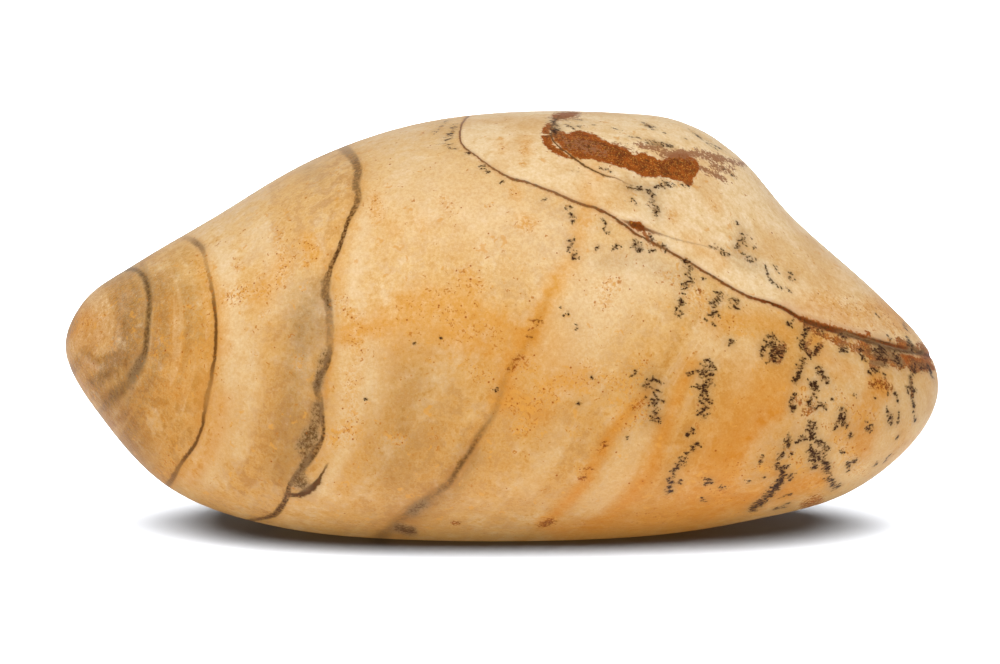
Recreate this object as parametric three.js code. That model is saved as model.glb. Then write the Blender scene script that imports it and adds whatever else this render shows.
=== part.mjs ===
// A polished landscape jasper: one tumbled, lens-shaped stone that lies on a small worn flat.
//
// Units are millimetres, +Z is up, +X runs to the blunt right end and -Y is the show face.
// The origin is the middle of the flat that the stone rests on.
//
// The form is a rounded body blown up from the stone's front outline, with flatter worn faces
// shaved softly off it, as tumbling wears a broken lump.
import * as THREE from 'three';
import { mergeVertices } from 'three/addons/utils/BufferGeometryUtils.js';

// ---- driving dimensions ---------------------------------------------------------------------

const HEART = new THREE.Vector3(0, 0, 8.6); // the point that every worn face is measured from
const FRONT_DEPTH = 13.0; // from the heart to the show face, before wear
const BACK_DEPTH = 13.8; // from the heart to the back, before wear
const FULLNESS = 2.25; // 2 makes elliptical sections, more makes them boxier
const WEAR_SHARPNESS = 10; // higher leaves crisper ridges between the worn faces
const REST_SOFTNESS = 0.16; // how far above the table the body starts to turn into the flat

// Front outline [x, z], clockwise from the left tip: over the long slope, the level top,
// the shoulder, the steep right slope, the blunt end and back along the belly. It dips just
// under the table where the stone rests, and the flat is cut there.
const OUTLINE = [
  [-22.25, 9.5],
  [-21.2, 11.8],
  [-18.6, 13.4],
  [-14.6, 15.6],
  [-9.6, 18.5],
  [-4.6, 20.3],
  [0.0, 21.0],
  [6.0, 21.2],
  [9.6, 21.1],
  [12.2, 19.2],
  [14.6, 15.9],
  [19.4, 11.6],
  [21.6, 9.4],
  [22.2, 7.6],
  [21.3, 5.4],
  [17.6, 2.2],
  [12.4, 0.7],
  [7.0, -0.1],
  [-3.0, -0.3],
  [-11.6, 0.5],
  [-16.6, 2.3],
  [-19.9, 5.6],
];

// Faces worn flatter by tumbling: the way each one faces, and its distance from the heart.
const WORN_FACES = [
  { name: 'show face', facing: [0.05, -1.0, 0.16], distance: 12.7 },
  { name: 'front of the shoulder', facing: [0.5, -0.56, 0.66], distance: 14.0 },
  { name: 'front of the left end', facing: [-0.46, -0.88, 0.14], distance: 15.4 },
  { name: 'front keel', facing: [0.1, -0.6, -0.8], distance: 12.6 },
  { name: 'back', facing: [-0.12, 1.0, 0.06], distance: 13.2 },
  { name: 'back of the top', facing: [0.16, 0.62, 0.76], distance: 13.2 },
  { name: 'back of the left end', facing: [-0.62, 0.74, 0.22], distance: 15.6 },
  { name: 'back of the right end', facing: [0.58, 0.8, -0.1], distance: 15.4 },
  { name: 'back keel', facing: [-0.08, 0.62, -0.78], distance: 12.0 },
];

const MESH_DETAIL = 15; // each edge of the 20-sided start is cut into one more piece than this
const MESH_STRETCH = new THREE.Vector3(22, 14, 9); // spreads the triangles evenly over the lens
const OUTLINE_STEPS = 720;

// ---- form -----------------------------------------------------------------------------------

// The outline as radius by angle about the heart, from closely spaced points along its curve.
function readOutline() {
  const points = OUTLINE.map(([x, z]) => new THREE.Vector3(x - HEART.x, 0, z - HEART.z));
  const curve = new THREE.CatmullRomCurve3(points, true, 'centripetal');
  return curve
    .getSpacedPoints(OUTLINE_STEPS)
    .slice(1)
    .map((p) => ({ angle: Math.atan2(p.z, p.x), radius: Math.hypot(p.x, p.z) }))
    .sort((a, b) => a.angle - b.angle);
}

const outline = readOutline();

function outlineRadius(angle) {
  const after = outline.findIndex((point) => point.angle > angle);
  const high = outline[Math.max(after, 0)];
  const low = outline.at(after > 0 ? after - 1 : -1);
  const turn = 2 * Math.PI;
  const span = (high.angle - low.angle + turn) % turn;
  const share = ((angle - low.angle + turn) % turn) / span;
  return THREE.MathUtils.lerp(low.radius, high.radius, share);
}

const wornFaces = WORN_FACES.map(({ facing, distance }) => ({
  normal: new THREE.Vector3(...facing).normalize(),
  distance,
}));

// Distance from the heart to the surface along a unit direction. Each term is the share of that
// distance one limit allows per millimetre, and the power sum rounds the ridges where limits meet.
function surfaceRadius(direction) {
  const flat = Math.hypot(direction.x, direction.z);
  const rim = flat / outlineRadius(Math.atan2(direction.z, direction.x));
  const depth = Math.abs(direction.y) / (direction.y < 0 ? FRONT_DEPTH : BACK_DEPTH);
  const body = (rim ** FULLNESS + depth ** FULLNESS) ** (1 / FULLNESS);
  let sum = body ** WEAR_SHARPNESS;
  for (const { normal, distance } of wornFaces) {
    sum += Math.max(0, normal.dot(direction) / distance) ** WEAR_SHARPNESS;
  }
  return sum ** (-1 / WEAR_SHARPNESS);
}

// Heights below the table are pressed up to it, with a short soft turn at the flat's edge.
function pressedFlat(z) {
  if (z > REST_SOFTNESS) return z;
  if (z < -REST_SOFTNESS) return 0;
  return (z + REST_SOFTNESS) ** 2 / (4 * REST_SOFTNESS);
}

function makeStone() {
  const geometry = new THREE.IcosahedronGeometry(1, MESH_DETAIL);
  geometry.deleteAttribute('normal');
  geometry.deleteAttribute('uv');
  const position = geometry.getAttribute('position');
  const point = new THREE.Vector3();
  for (let i = 0; i < position.count; i += 1) {
    point.fromBufferAttribute(position, i).multiply(MESH_STRETCH).normalize();
    point.multiplyScalar(surfaceRadius(point)).add(HEART);
    point.z = pressedFlat(point.z);
    position.setXYZ(i, point.x, point.y, point.z);
  }
  return mergeVertices(geometry, 1e-4);
}

// ---- assembly -------------------------------------------------------------------------------

const jasper = new THREE.MeshStandardMaterial({
  name: 'polished jasper',
  color: 0xdcb483,
  roughness: 0.28,
  metalness: 0,
});

const stone = new THREE.Mesh(makeStone(), jasper);
stone.name = 'stone';

const landscapeJasper = new THREE.Group();
landscapeJasper.add(stone);

export default landscapeJasper;
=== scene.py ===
import math

import bmesh
import bpy
import numpy as np
from mathutils import Matrix, Vector
from mathutils.bvhtree import BVHTree
from mathutils.kdtree import KDTree


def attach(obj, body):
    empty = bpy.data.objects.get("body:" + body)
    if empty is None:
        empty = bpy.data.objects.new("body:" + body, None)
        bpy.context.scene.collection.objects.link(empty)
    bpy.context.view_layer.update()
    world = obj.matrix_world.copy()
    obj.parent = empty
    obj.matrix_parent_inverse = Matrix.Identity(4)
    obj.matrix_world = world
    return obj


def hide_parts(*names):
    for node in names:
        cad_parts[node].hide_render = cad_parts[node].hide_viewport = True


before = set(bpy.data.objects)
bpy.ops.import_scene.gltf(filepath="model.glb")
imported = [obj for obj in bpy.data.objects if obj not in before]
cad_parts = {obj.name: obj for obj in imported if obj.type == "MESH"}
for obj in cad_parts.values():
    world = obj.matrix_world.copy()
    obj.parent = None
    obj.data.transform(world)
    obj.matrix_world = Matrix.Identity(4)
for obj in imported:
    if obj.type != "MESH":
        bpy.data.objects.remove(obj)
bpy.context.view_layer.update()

# sizes in the dictionaries are millimetres, Blender works in metres
millimetre = 0.001

camera = {
    "lens": 170.0,
    "sensor": 36.0,
    "span": 50.0,  # width of the view at the aim point
    "elevation": 7.0,  # degrees above the table
    "aim": (-0.1, 0.0, 9.95),
}

tilt = math.radians(camera["elevation"])
aim = np.array(camera["aim"])
backward = np.array([0.0, -math.cos(tilt), math.sin(tilt)])
upward = np.array([0.0, math.sin(tilt), math.cos(tilt)])
distance = camera["span"] * camera["lens"] / camera["sensor"]
eye = aim + backward * distance


def makeCamera():
    data = bpy.data.cameras.new("camera")
    data.lens = camera["lens"]
    data.sensor_width = camera["sensor"]
    data.clip_start = 0.01
    seat = bpy.data.objects.new("camera", data)
    seat.location = eye * millimetre
    seat.rotation_euler = (math.radians(90) - tilt, 0, 0)
    bpy.context.scene.collection.objects.link(seat)
    bpy.context.scene.camera = seat


makeCamera()
print("camera", round(distance, 1), "mm from the stone")

# Every run below is drawn in points of the camera's 1000 by 664 view, across and down. A marking
# is a sheet through the stone, so the same run places it on the back too, where the sheets lean.
view = {"middle": (500, 332), "perMillimetre": 20.0}
sheets = {
    "leanFrom": 3.0,  # the sheets start to lean this far behind the middle
    "leanRight": 0.42,
    "leanUp": -0.16,
    "waver": 0.9,  # how far they wander there
    "waverFrom": 4.0,  # and how soon it sets in
}


# view points to millimetres right of and above the middle of the view
def onFace(run):
    points = np.array(run, float)
    points[:, 0] = (points[:, 0] - view["middle"][0]) / view["perMillimetre"]
    points[:, 1] = (view["middle"][1] - points[:, 1]) / view["perMillimetre"]
    return points


# where a place in the stone shows on the face; behind the middle the sheets lean and wander
def faceMap(places):
    offset = places - eye
    depth = offset @ -backward
    u = offset[:, 0] * distance / depth
    v = offset @ upward * distance / depth
    behind = np.clip(places[:, 1] - sheets["leanFrom"], 0, None)
    settled = np.tanh(behind / sheets["waverFrom"])
    sway = np.sin(places[:, 2] * 0.45 + 1.0) + 0.6 * np.sin(places[:, 0] * 0.38 + places[:, 2] * 0.21)
    u = u + behind * sheets["leanRight"] + settled * sway * sheets["waver"]
    v = v + behind * sheets["leanUp"] + settled * np.sin(places[:, 0] * 0.5) * sheets["waver"] / 2
    return np.stack([u, v], axis=1)


# a smooth curve through the points of a run, in millimetres
def smoothRun(run, steps=6):
    points = onFace(run)
    points = np.vstack([2 * points[0] - points[1], points, 2 * points[-1] - points[-2]])
    t = np.arange(steps)[:, None] / steps
    pieces = []
    for a, b, c, d in zip(points, points[1:], points[2:], points[3:]):
        bend = (2 * a - 5 * b + 4 * c - d) * t**2 + (3 * b - a - 3 * c + d) * t**3
        pieces.append(b + 0.5 * ((c - a) * t + bend))
    return np.vstack(pieces + [points[-2:-1]])


# signed distance to a line, positive on its left hand, and the line's other columns there
def measureLine(places, line):
    nearest = np.full(len(places), 1e6)
    side = np.ones(len(places))
    rest = np.zeros((len(places), line.shape[1] - 2))
    for start, end in zip(line, line[1:]):
        along = (end - start)[:2]
        offset = places - start[:2]
        share = np.clip(offset @ along / max(along @ along, 1e-9), 0, 1)
        gap = offset - share[:, None] * along
        far = np.hypot(gap[:, 0], gap[:, 1])
        closer = far < nearest
        nearest[closer] = far[closer]
        side[closer] = np.where(along[0] * offset[closer, 1] > along[1] * offset[closer, 0], 1, -1)
        rest[closer] = start[2:] + share[closer, None] * (end - start)[2:]
    return nearest * side, rest


# the same, but only for the places near the line
def measureNear(places, line, reach=2.0):
    low, high = line[:, :2].min(axis=0) - reach, line[:, :2].max(axis=0) + reach
    near = np.all((places > low) & (places < high), axis=1)
    far = np.full(len(places), 99.0)
    rest = np.zeros((len(places), line.shape[1] - 2))
    far[near], rest[near] = measureLine(places[near], line)
    return far, rest


# straight on past both ends, where the line has no strength left
def lengthen(line, reach=40.0):
    ends = []
    for tip, before in ((line[0], line[1]), (line[-1], line[-2])):
        heading = (tip - before)[:2]
        heading = heading / np.hypot(*heading)
        near, far = tip.copy(), tip.copy()
        near[:2] += heading * 0.1
        far[:2] += heading * reach
        if len(tip) > 2:
            near[-1] = far[-1] = 0.0
        ends.append((near, far))
    return np.vstack([ends[0][1], ends[0][0], line, ends[1][0], ends[1][1]])


# veins and cracks, from the top down or from left to right: across, down, width in millimetres
# and strength
veins = {
    "leftArc": [
        (112, 275, 0.15, 0.3), (122, 270, 0.18, 0.7), (130, 269, 0.2, 0.9), (138, 271, 0.2, 0.9),
        (144, 277, 0.24, 1), (147, 285, 0.24, 1), (149, 297, 0.24, 1), (149, 310, 0.23, 1),
        (148, 323, 0.23, 1), (147, 337, 0.23, 1), (145, 351, 0.28, 1), (140, 364, 0.38, 0.95),
        (134, 375, 0.4, 0.9), (126, 386, 0.4, 0.45), (116, 396, 0.4, 0.4), (104, 408, 0.3, 0.3),
        (92, 420, 0.2, 0),
    ],
    "secondArc": [
        (178, 236, 0.15, 0.2), (187, 238, 0.18, 0.3), (195, 242, 0.22, 0.55), (202, 249, 0.2, 0.55),
        (205, 259, 0.15, 0.3), (208, 272, 0.15, 0.4), (211, 285, 0.15, 0.55),
        (213.5, 299, 0.14, 0.75), (215, 312, 0.13, 0.95), (216, 325, 0.12, 1), (216, 340, 0.12, 1),
        (215, 354, 0.12, 1), (213, 368, 0.13, 0.85), (211, 380, 0.16, 0.6), (208, 392, 0.2, 0.5),
        (206, 404, 0.18, 0.5), (204, 415, 0.13, 0.8), (203, 424, 0.12, 1), (199, 435, 0.12, 1),
        (194, 446, 0.13, 1), (186, 457, 0.13, 1), (180, 465, 0.15, 0.7), (175, 474, 0.2, 0.75),
        (170, 482, 0.22, 0.7), (162, 492, 0.2, 0.3),
    ],
    "darkVein": [
        (332, 140, 0.4, 0.2), (343, 148, 0.35, 0.5), (351, 155, 0.32, 0.6), (356, 163, 0.3, 0.75),
        (358, 172, 0.3, 0.75), (356, 184, 0.26, 0.7), (358, 197, 0.26, 0.75),
        (355, 207, 0.22, 0.85), (350, 217, 0.16, 0.95), (346, 227, 0.14, 1), (342, 240, 0.14, 1),
        (338, 251, 0.15, 1), (333, 262, 0.15, 1), (330, 271, 0.16, 0.95), (327, 280, 0.27, 0.75),
        (325, 291, 0.3, 0.7), (327, 301, 0.27, 0.75), (329, 312, 0.27, 0.55),
        (330, 330, 0.27, 0.45), (330, 345, 0.26, 0.5), (329, 356, 0.2, 0.9), (326, 366, 0.22, 0.95),
        (320, 377, 0.22, 0.9), (317, 387, 0.25, 1), (319, 397, 0.25, 0.6), (321, 408, 0.2, 0.8),
        (322.5, 420, 0.16, 1), (323, 432, 0.16, 1), (321, 441, 0.18, 1), (314, 452, 0.28, 1),
        (307, 462, 0.28, 1), (300, 470, 0.18, 0.9), (294, 478, 0.16, 1), (289, 487, 0.16, 1),
        (288, 494, 0.2, 1), (284, 502, 0.22, 1), (279, 510, 0.22, 1), (274, 515, 0.18, 1),
        (262, 518.5, 0.12, 0.9), (247, 521, 0.1, 0.8), (232, 524, 0.08, 0.4),
    ],
    "darkBranch": [
        (288, 495, 0.14, 0.9), (298, 495.5, 0.16, 1), (306, 492, 0.28, 1), (313, 487, 0.25, 1),
        (319, 480, 0.16, 0.95), (323, 473, 0.1, 0.9), (327, 465, 0.07, 0.5),
    ],
    "greySeam": [
        (565, 262, 0.3, 0), (549, 295, 0.3, 0.08), (531, 338, 0.3, 0.16), (509, 370, 0.3, 0.2),
        (495, 411, 0.3, 0.38), (480, 434, 0.3, 0.7), (470, 451, 0.22, 0.9), (459, 467, 0.25, 1),
        (449, 483, 0.3, 0.8), (432, 496, 0.4, 0.6), (415, 508, 0.5, 0.7), (400, 520, 0.5, 0.6),
        (388, 531, 0.5, 0.7), (370, 545, 0.5, 0.5),
    ],
    "rustCrack": [
        (486, 104, 0.055, 0.64), (473, 113, 0.055, 0.68), (467, 117.5, 0.06, 0.72),
        (461.5, 124.5, 0.065, 0.8), (460, 133.5, 0.065, 0.8), (461, 142.5, 0.065, 0.8),
        (467, 149.5, 0.06, 0.8), (476, 156, 0.07, 0.8), (486.5, 164, 0.07, 0.8),
        (499, 172, 0.075, 0.8), (511, 178, 0.08, 0.8), (526, 182, 0.08, 0.8),
        (540, 187, 0.085, 0.8), (554, 192.5, 0.09, 0.8), (569, 199, 0.095, 0.8),
        (583, 204.5, 0.1, 0.8), (593.5, 207, 0.1, 0.8), (604, 212, 0.1, 0.9), (614, 218, 0.1, 0.9),
        (626, 226, 0.1, 0.9), (636, 234, 0.09, 0.9), (651, 241.5, 0.085, 0.9),
        (665, 249, 0.085, 0.9), (679, 257, 0.085, 0.9), (693.5, 265, 0.085, 0.9),
        (708, 274, 0.09, 0.9), (725, 284, 0.09, 0.9), (746, 295.5, 0.1, 0.9), (767, 302, 0.11, 1),
        (784, 308, 0.13, 1), (799, 317.5, 0.15, 1), (818, 325, 0.18, 1), (848, 334, 0.2, 1),
        (869, 339.5, 0.2, 1), (889.5, 344.5, 0.17, 1), (910, 350, 0.15, 1), (931, 356, 0.13, 1),
        (945, 361, 0.12, 1),
    ],
    "knotCrack": [
        (620, 219, 0.05, 0), (627, 222, 0.1, 0.8), (633, 224.5, 0.2, 1), (640, 227, 0.22, 1),
        (646, 229.5, 0.14, 1), (652, 232, 0.1, 0.8), (662, 235, 0.07, 0.3),
    ],
    "hairCrack": [
        (559, 116, 0.07, 0.6), (553, 124, 0.07, 0.8), (551.5, 132, 0.07, 0.9),
        (552.5, 139, 0.07, 1), (557, 145.5, 0.07, 1), (565, 151.5, 0.07, 1), (574, 158, 0.07, 1),
        (584, 165, 0.07, 1), (596, 172, 0.07, 1), (606, 176, 0.06, 0.9), (616, 178.5, 0.05, 0.6),
        (628, 184, 0.05, 0.3),
    ],
    "faintCrack": [
        (651, 230, 0.06, 0.8), (672, 238, 0.06, 0.7), (693.5, 243.5, 0.05, 0.6),
        (712, 248, 0.05, 0.5), (731, 255, 0.05, 0.5),
    ],
}

# the edges between the layers of the stone, from the left tip to the right end
layerEdges = [
    [(112, 211), (142, 275), (150, 317), (144, 357), (116, 397), (60, 481)],
    [(110, 151), (172, 221), (206, 269), (216, 325), (208, 393), (190, 455), (140, 525)],
    [(290, 71), (358, 169), (332, 267), (328, 345), (320, 423), (282, 503), (236, 561)],
    [(630, 121), (566, 261), (530, 339), (494, 411), (458, 467), (388, 531), (330, 571)],
    [(770, 201), (692, 329), (650, 391), (610, 435), (592, 465), (556, 513), (500, 561)],
    [(830, 201), (740, 301), (692, 367), (650, 467), (624, 503), (560, 553)],
    [(890, 241), (820, 349), (782, 405), (744, 441), (728, 487), (684, 551)],
]

layerEnds = (5.0, 6.0)  # millimetres from the outer edges to where the end layers are full

# soft stains, and pale marks of painted highlight: strength, reach in millimetres, and run
washes = {
    "ochre": [
        (0.4125, 0.45, [(203, 262), (208, 300), (209, 340), (205, 380), (198, 420)]),
        (0.35, 0.5, [(219, 290), (223, 350)]),
        (0.4, 0.5, [(224, 400), (214, 445), (190, 475)]),
        (0.65, 0.5, [(308, 240), (315, 256)]),
        (0.45, 0.6, [(283, 262), (262, 300)]),
        (0.35, 0.6, [(352, 205), (338, 250), (334, 285)]),
        (0.55, 0.7, [(345, 334), (375, 324), (402, 318), (440, 303), (480, 312), (520, 332)]),
        (0.45, 0.6, [(402, 300), (430, 292)]),
        (0.6, 0.45, [(580, 222), (578, 238), (566, 270), (549, 292)]),
        (0.75, 0.45, [(556, 280), (540, 320), (520, 350), (507, 375), (499, 402)]),
        (0.7, 0.22, [(541, 305), (532, 330), (520, 352), (508, 374)]),
        (0.6, 0.4, [(78, 322), (79, 340)]),
        (0.55, 0.7, [(508, 398), (536, 412)]),
        (0.45, 0.6, [(552, 386), (582, 378)]),
        (0.8, 0.3, [(650, 390), (628, 412), (611, 433), (602, 450), (593, 465), (581, 486),
            (557, 513), (541, 524)]),
        (0.75, 0.4, [(692, 366), (672, 408), (651, 466), (625, 504), (593, 526)]),
        (0.6, 1.5, [(765, 392), (722, 455), (694, 515)]),
        (0.7, 0.4, [(782, 404), (744, 441), (728, 487), (706, 518)]),
        (0.65, 0.5, [(556, 532), (640, 523), (720, 507), (790, 490), (822, 478)]),
        (0.5, 0.6, [(716, 322), (750, 318), (788, 330)]),
        (0.7, 0.45, [(812, 338), (818, 350)]),
        (0.9, 0.5, [(876, 378), (882, 392)]),
        (0.6, 0.3, [(868, 396), (874, 408)]),
        (0.5, 0.6, [(862, 408), (866, 432)]),
        (0.5, 0.6, [(842, 432), (858, 446)]),
        (0.5, 0.5, [(768, 468), (780, 476)]),
        (0.5, 0.5, [(597, 168), (592, 185), (586, 212)]),
        (0.5, 0.3, [(527, 140), (528, 152)]),
        (0.3, 0.35, [(499, 144), (503, 150)]),
        (0.35, 0.4, [(672, 214), (673, 222)]),
        (0.3, 0.4, [(713, 202), (716, 208)]),
        (0.4, 0.6, [(872, 304), (905, 322)]),
        (0.3, 0.6, [(836, 272), (846, 280)]),
        (0.45, 0.3, [(515, 189), (516, 197)]),
        (0.4, 0.4, [(522, 218), (529, 224)]),
        (0.4, 0.6, [(470, 288), (456, 306)]),
        (0.5, 0.4, [(375, 198), (377, 214)]),
        (0.35, 0.4, [(392, 226), (396, 232)]),
        (0.3, 0.45, [(420, 220), (424, 226)]),
        (0.4, 0.4, [(466, 280), (474, 284)]),
        (0.4, 0.7, [(86, 318), (92, 330)]),
        (0.35, 0.8, [(172, 300), (182, 345), (178, 390)]),
        (0.6, 0.4, [(402, 530), (410, 526)]),
        (0.45, 0.6, [(440, 330), (470, 345), (500, 352)]),
        (0.4, 0.5, [(690, 240), (720, 262)]),
        (0.4, 0.6, [(812, 312), (860, 318)]),
        (0.7, 0.15, [(334, 336), (331, 352), (328, 372), (325, 396)]),
        (0.5, 0.12, [(361, 166), (363, 182), (360, 198)]),
        (0.5, 0.15, [(352, 226), (356, 228)]),
        (0.4, 1.6, [(400, 332), (470, 328), (545, 350)]),
        (0.3, 1.8, [(650, 505), (710, 490)]),
        (0.5, 0.5, [(735, 500), (790, 488), (822, 476)]),
        (0.5, 0.5, [(790, 382), (772, 410)]),
        (0.4, 0.6, [(884, 300), (905, 318)]),
        (0.4, 0.5, [(826, 362), (850, 372)]),
        (0.5, 0.4, [(870, 430), (862, 452)]),
        (0.4, 0.5, [(800, 300), (830, 300)]),
    ],
    "pale": [
        (0.7, 0.5, [(222, 256), (231, 300), (233, 345), (231, 390), (222, 440), (208, 478)]),
        (0.5, 0.8, [(262, 236), (282, 276), (276, 300)]),
        (0.65, 0.35, [(374, 196), (360, 240), (352, 290)]),
        (0.85, 0.35, [(371, 340), (367, 388), (352, 429), (335, 468), (321, 492)]),
        (0.45, 2.2, [(420, 180), (500, 214), (560, 248)]),
        (0.65, 1.7, [(645, 266), (604, 300), (574, 350)]),
        (0.5, 0.25, [(345, 352), (344, 392), (338, 424)]),
        (0.4, 0.3, [(386, 352), (384, 392), (372, 428)]),
        (0.55, 0.7, [(640, 436), (616, 480), (598, 505)]),
        (0.6, 0.4, [(764, 416), (748, 450), (736, 476)]),
        (0.6, 0.9, [(834, 402), (880, 404), (872, 440)]),
        (0.4, 0.9, [(842, 480), (872, 466)]),
        (0.4, 0.5, [(560, 430), (530, 490)]),
        (0.5, 0.5, [(250, 345), (252, 400), (240, 450)]),
        (0.45, 0.6, [(712, 326), (700, 345), (728, 352)]),
        (0.5, 0.8, [(905, 392), (925, 396), (918, 424)]),
        (0.5, 1.2, [(800, 400), (832, 440), (850, 470)]),
        (0.4, 0.8, [(752, 300), (800, 308)]),
        (0.5, 0.7, [(905, 400), (918, 424)]),
        (0.45, 0.7, [(752, 350), (742, 384)]),
        (0.45, 0.7, [(766, 420), (756, 446)]),
        (0.4, 0.8, [(880, 440), (860, 478)]),
        (0.5, 0.5, [(815, 352), (860, 376)]),
        (0.4, 0.6, [(668, 284), (700, 300)]),
    ],
    "smoke": [
        (0.5, 0.25, [(92, 382), (108, 376), (122, 364), (131, 348)]),
        (0.45, 0.22, [(99, 398), (118, 394), (132, 382)]),
        (0.4, 0.2, [(84, 352), (96, 362), (110, 356)]),
        (0.4, 0.9, [(112, 376), (120, 420), (140, 455)]),
        (0.35, 0.8, [(165, 282), (188, 300), (190, 330)]),
        (0.45, 1.1, [(306, 300), (300, 360), (290, 430), (286, 470)]),
        (0.4, 0.4, [(299, 318), (302, 350)]),
        (0.3, 1.6, [(396, 470), (404, 420), (412, 380)]),
        (0.55, 0.6, [(470, 455), (448, 490), (414, 514)]),
        (0.4, 0.8, [(650, 384), (652, 412)]),
        (0.3, 0.8, [(130, 300), (122, 330)]),
        (0.3, 0.5, [(300, 158), (318, 178)]),
        (0.3, 0.5, [(96, 280), (120, 276)]),
        (0.4, 0.45, [(742, 236), (738, 256), (754, 266)]),
        (0.3, 0.6, [(632, 184), (652, 196), (658, 212)]),
        (0.4, 0.6, [(880, 352), (900, 362)]),
        (0.3, 0.5, [(600, 262), (640, 262), (676, 276)]),
        (0.5, 0.5, [(322, 286), (318, 306), (322, 330)]),
        (0.4, 0.35, [(305, 310), (304, 330)]),
    ],
    "soot": [
        (0.5, 0.3, [(327, 352), (322, 362)]),
        (0.6, 0.3, [(320, 374), (317, 386)]),
        (0.5, 0.3, [(316, 406), (314, 424), (312, 440), (305, 453)]),
        (0.3, 0.2, [(319, 406), (319, 424), (317, 440)]),
        (0.5, 0.35, [(307, 432), (300, 446)]),
        (0.5, 0.22, [(303, 464), (298, 474), (295, 486)]),
        (0.35, 0.22, [(307, 458), (304, 470), (306, 482)]),
        (0.5, 0.3, [(298, 482), (304, 486)]),
        (0.7, 0.15, [(328, 300), (329, 307)]),
        (0.5, 0.35, [(424, 504), (412, 512)]),
        (0.7, 0.3, [(398, 528), (412, 531)]),
        (0.4, 0.2, [(196, 242), (202, 248)]),
        (0.5, 0.3, [(140, 360), (132, 376)]),
        (0.35, 0.12, [(133, 388), (129, 400), (124, 420)]),
        (0.75, 0.14, [(868, 341), (882, 346), (896, 350), (912, 352), (922, 352)]),
        (0.6, 0.1, [(845, 333), (868, 341)]),
        (0.5, 0.2, [(876, 352), (892, 356), (900, 362)]),
        (0.55, 0.12, [(908, 342), (914, 349)]),
        (0.5, 0.15, [(872, 362), (886, 366)]),
        (0.55, 0.12, [(910, 376), (911, 388)]),
    ],
    "mauve": [
        (0.8, 0.2, [(556, 117), (566, 115), (577, 114)]),
        (0.9, 0.2, [(664, 155), (680, 154), (697, 154.5), (711, 157)]),
        (0.85, 0.14, [(711, 157), (727, 160.5), (744, 164)]),
        (0.8, 0.12, [(702, 168), (714, 174), (724, 178.5)]),
        (0.6, 0.1, [(717, 164), (726, 167), (734, 169.5)]),
        (0.85, 0.13, [(636, 144), (649, 147), (662, 149)]),
        (0.5, 0.1, [(612, 141), (624, 147), (636, 152)]),
        (0.5, 0.08, [(719, 167), (736, 177.5)]),
        (0.7, 0.16, [(884, 346), (900, 349), (916, 353), (928, 357)]),
        (0.5, 0.1, [(638, 230), (650, 234)]),
        (0.5, 0.35, [(566, 142), (584, 146), (600, 152)]),
        (0.8, 0.09, [(672, 153), (700, 153.5), (722, 158)]),
        (0.8, 0.08, [(700, 168), (716, 175), (726, 181)]),
        (0.7, 0.07, [(712, 166), (730, 172)]),
        (0.7, 0.1, [(640, 146), (660, 149)]),
    ],
    "rusty": [
        (0.9, 0.14, [(802, 319), (818, 325), (834, 329), (850, 334), (864, 338)]),
        (0.8, 0.2, [(862, 345), (868, 348)]),
        (0.42, 0.12, [(536, 322), (530, 338)]),
        (0.45, 0.15, [(520, 356), (511, 370)]),
        (0.42, 0.12, [(605, 442), (600, 452)]),
        (0.42, 0.1, [(590, 468), (580, 482)]),
        (0.85, 0.25, [(876, 358), (886, 355)]),
        (0.7, 0.2, [(873, 366), (882, 360)]),
        (0.8, 0.15, [(898, 340), (904, 344)]),
        (0.6, 0.2, [(920, 345), (926, 352)]),
        (0.6, 0.12, [(806, 345), (809, 354)]),
        (0.5, 0.12, [(816, 352), (822, 344)]),
        (0.6, 0.2, [(776, 352), (784, 346)]),
        (0.4, 0.2, [(877, 384), (885, 388)]),
        (0.7, 0.1, [(642, 229), (648, 238)]),
        (0.7, 0.12, [(401, 530), (413, 532)]),
        (0.6, 0.18, [(542, 525), (552, 521)]),
        (0.5, 0.15, [(796, 399), (802, 403)]),
        (0.5, 0.2, [(806, 414), (812, 409)]),
        (0.5, 0.3, [(806, 506), (818, 500)]),
        (0.4, 0.12, [(452, 523), (458, 523)]),
        (0.6, 0.1, [(650, 242), (653, 244)]),
        (0.5, 0.12, [(698, 290), (702, 293)]),
        (0.4, 0.2, [(633, 409), (642, 402)]),
        (0.8, 0.16, [(866, 352), (874, 360), (884, 364)]),
        (0.7, 0.2, [(892, 362), (902, 366)]),
        (0.8, 0.14, [(900, 343), (912, 348), (922, 354)]),
        (0.35, 0.2, [(870, 385), (882, 381), (890, 388)]),
        (0.6, 0.16, [(806, 326), (820, 334), (836, 341)]),
        (0.6, 0.2, [(838, 340), (852, 347), (866, 352)]),
        (0.6, 0.2, [(880, 352), (896, 358), (908, 360)]),
        (0.85, 0.22, [(905, 360), (918, 363), (928, 359)]),
        (0.55, 0.1, [(812, 338), (806, 348), (814, 354)]),
        (0.5, 0.1, [(837, 340), (842, 346)]),
        (0.5, 0.12, [(772, 360), (779, 362), (783, 352)]),
        (0.45, 0.1, [(911, 380), (912, 396)]),
    ],
    # painted highlights: along the crack's raised upper lip, painted glints in the pits by the dark
    # vein, and a painted highlight on the left tip
    "lipAndGlint": [
        (0.55, 0.2, [(86, 360), (100, 368), (118, 356), (124, 336)]),
        (0.7, 0.2, [(784, 303), (806, 313), (830, 322), (852, 329), (866, 333)]),
        (0.6, 0.25, [(812, 306), (834, 312), (848, 318)]),
        (0.5, 0.3, [(868, 322), (884, 334)]),
        (0.9, 0.05, [(866, 339.5), (876, 342), (889, 346)]),
        (0.4, 0.15, [(900, 352), (914, 354)]),
        (0.9, 0.05, [(324.5, 300), (324.5, 302)]),
        (0.7, 0.06, [(321, 371), (323, 371)]),
        (0.5, 0.1, [(296, 489), (299, 488)]),
        (0.5, 0.06, [(207, 283), (207, 286)]),
        (0.5, 0.2, [(98, 337), (106, 333)]),
        (0.7, 0.22, [(98, 321), (107, 317)]),
        (0.4, 0.3, [(98, 300), (90, 312)]),
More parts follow.
